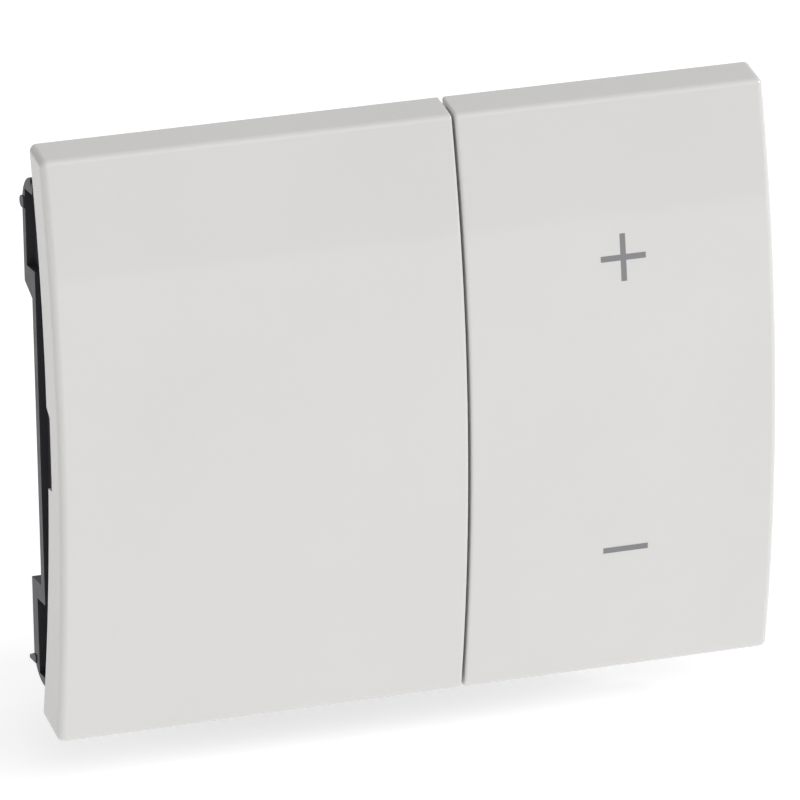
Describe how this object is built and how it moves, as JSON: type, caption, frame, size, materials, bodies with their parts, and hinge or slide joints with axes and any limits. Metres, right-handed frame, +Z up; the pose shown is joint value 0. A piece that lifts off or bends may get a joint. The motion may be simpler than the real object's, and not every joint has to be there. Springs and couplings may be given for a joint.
{
  "type": "dimmer switch",
  "caption": "Flush electronic dimmer with a wide rocking on/off key and a narrower key marked plus and minus, on a dark snap-in carrier with a shallow rear housing.",
  "frame": {"origin": "centre of the carrier's seating plane, midway between the two fixing holes", "axes": "+X to the right seen from the room, +Y into the wall, +Z up"},
  "size_m": [0.063, 0.0255, 0.0507],
  "materials": {
    "key_white": "glossy moulded",
    "sign_grey": "satin ink-like inlay",
    "carrier_anthracite": "satin moulded",
    "pin_steel": "ground",
    "plunger_white": "moulded",
    "spring_steel": "drawn wire",
    "switch_black": "moulded",
    "button_ivory": "moulded",
    "board_green": "solder mask",
    "header_black": "moulded",
    "pin_tin": "tinned",
    "chip_black": "moulded epoxy",
    "spreader_aluminium": "mill finish",
    "core_ferrite": "sintered",
    "winding_copper": "enamelled wire",
    "film_yellow": "potted box",
    "can_aluminium": "sleeved can",
    "varistor_blue": "dipped epoxy",
    "fuse_ceramic": "ceramic with caps",
    "housing_grey": "moulded",
    "screw_steel": "zinc plated",
    "terminal_grey": "moulded",
    "clip_steel": "stamped",
    "release_orange": "moulded"
  },
  "bodies": {
    "base": {"carrier_frame": "carrier_anthracite", "pivot_pin_left": "pin_steel", "pivot_pin_right": "pin_steel", "plunger_spring_left_up": "spring_steel", "plunger_spring_left_down": "spring_steel", "plunger_spring_right_up": "spring_steel", "plunger_spring_right_down": "spring_steel", "tact_switch_left_up": "switch_black", "tact_switch_left_down": "switch_black", "tact_switch_right_up": "switch_black", "tact_switch_right_down": "switch_black", "control_board": "board_green", "power_board": "board_green", "header_strip": "header_black", "header_pins": "pin_tin", "microcontroller": "chip_black", "power_transistor_1": "chip_black", "power_transistor_2": "chip_black", "heat_spreader": "spreader_aluminium", "choke_core": "core_ferrite", "choke_winding": "winding_copper", "film_capacitor": "film_yellow", "electrolytic_capacitor": "can_aluminium", "varistor": "varistor_blue", "fuse": "fuse_ceramic", "rear_housing": "housing_grey", "housing_screws": "screw_steel", "terminal_block": "terminal_grey", "terminal_clips": "clip_steel"},
    "left_key": {"key_left": "key_white"},
    "right_key": {"key_right": "key_white", "plus_mark": "sign_grey", "minus_mark": "sign_grey"},
    "plunger_left_up": {"plunger_left_up": "plunger_white"},
    "button_left_up": {"tact_button_left_up": "button_ivory"},
    "plunger_left_down": {"plunger_left_down": "plunger_white"},
    "button_left_down": {"tact_button_left_down": "button_ivory"},
    "plunger_right_up": {"plunger_right_up": "plunger_white"},
    "button_right_up": {"tact_button_right_up": "button_ivory"},
    "plunger_right_down": {"plunger_right_down": "plunger_white"},
    "button_right_down": {"tact_button_right_down": "button_ivory"},
    "release_1": {"release_button_1": "release_orange"},
    "release_2": {"release_button_2": "release_orange"},
    "release_3": {"release_button_3": "release_orange"}
  },
  "joints": [
    {"name": "left_key_rock", "type": "hinge", "parent": "base", "child": "left_key", "pos_m": [-0.0108, -0.00375, 0], "axis": [1, 0, 0], "range_deg": [-2, 2], "stiffness_Nm_per_rad": 0.06},
    {"name": "right_key_rock", "type": "hinge", "parent": "base", "child": "right_key", "pos_m": [0.0149, -0.00375, 0], "axis": [1, 0, 0], "range_deg": [-2, 2], "stiffness_Nm_per_rad": 0.06},
    {"name": "plunger_left_up_slide", "type": "slide", "parent": "base", "child": "plunger_left_up", "axis": [0, 1, 0], "range_m": [-0.00053, 0.00053], "deforming": ["plunger_spring_left_up"]},
    {"name": "plunger_left_down_slide", "type": "slide", "parent": "base", "child": "plunger_left_down", "axis": [0, 1, 0], "range_m": [-0.00053, 0.00053], "deforming": ["plunger_spring_left_down"]},
    {"name": "plunger_right_up_slide", "type": "slide", "parent": "base", "child": "plunger_right_up", "axis": [0, 1, 0], "range_m": [-0.00053, 0.00053], "deforming": ["plunger_spring_right_up"]},
    {"name": "plunger_right_down_slide", "type": "slide", "parent": "base", "child": "plunger_right_down", "axis": [0, 1, 0], "range_m": [-0.00053, 0.00053], "deforming": ["plunger_spring_right_down"]},
    {"name": "button_left_up_press", "type": "slide", "parent": "base", "child": "button_left_up", "axis": [0, 1, 0], "range_m": [0, 0.00025], "stiffness_N_per_m": 40},
    {"name": "button_left_down_press", "type": "slide", "parent": "base", "child": "button_left_down", "axis": [0, 1, 0], "range_m": [0, 0.00025], "stiffness_N_per_m": 40},
    {"name": "button_right_up_press", "type": "slide", "parent": "base", "child": "button_right_up", "axis": [0, 1, 0], "range_m": [0, 0.00025], "stiffness_N_per_m": 40},
    {"name": "button_right_down_press", "type": "slide", "parent": "base", "child": "button_right_down", "axis": [0, 1, 0], "range_m": [0, 0.00025], "stiffness_N_per_m": 40},
    {"name": "release_1_press", "type": "slide", "parent": "base", "child": "release_1", "axis": [0, -1, 0], "range_m": [0, 0.0009], "stiffness_N_per_m": 60},
    {"name": "release_2_press", "type": "slide", "parent": "base", "child": "release_2", "axis": [0, -1, 0], "range_m": [0, 0.0009], "stiffness_N_per_m": 60},
    {"name": "release_3_press", "type": "slide", "parent": "base", "child": "release_3", "axis": [0, -1, 0], "range_m": [0, 0.0009], "stiffness_N_per_m": 60}
  ],
  "couplings": [
    {"joint": "plunger_left_up_slide", "follows": "left_key_rock", "m_per_rad": -0.015},
    {"joint": "plunger_left_down_slide", "follows": "left_key_rock", "m_per_rad": 0.015},
    {"joint": "plunger_right_up_slide", "follows": "right_key_rock", "m_per_rad": -0.015},
    {"joint": "plunger_right_down_slide", "follows": "right_key_rock", "m_per_rad": 0.015}
  ]
}
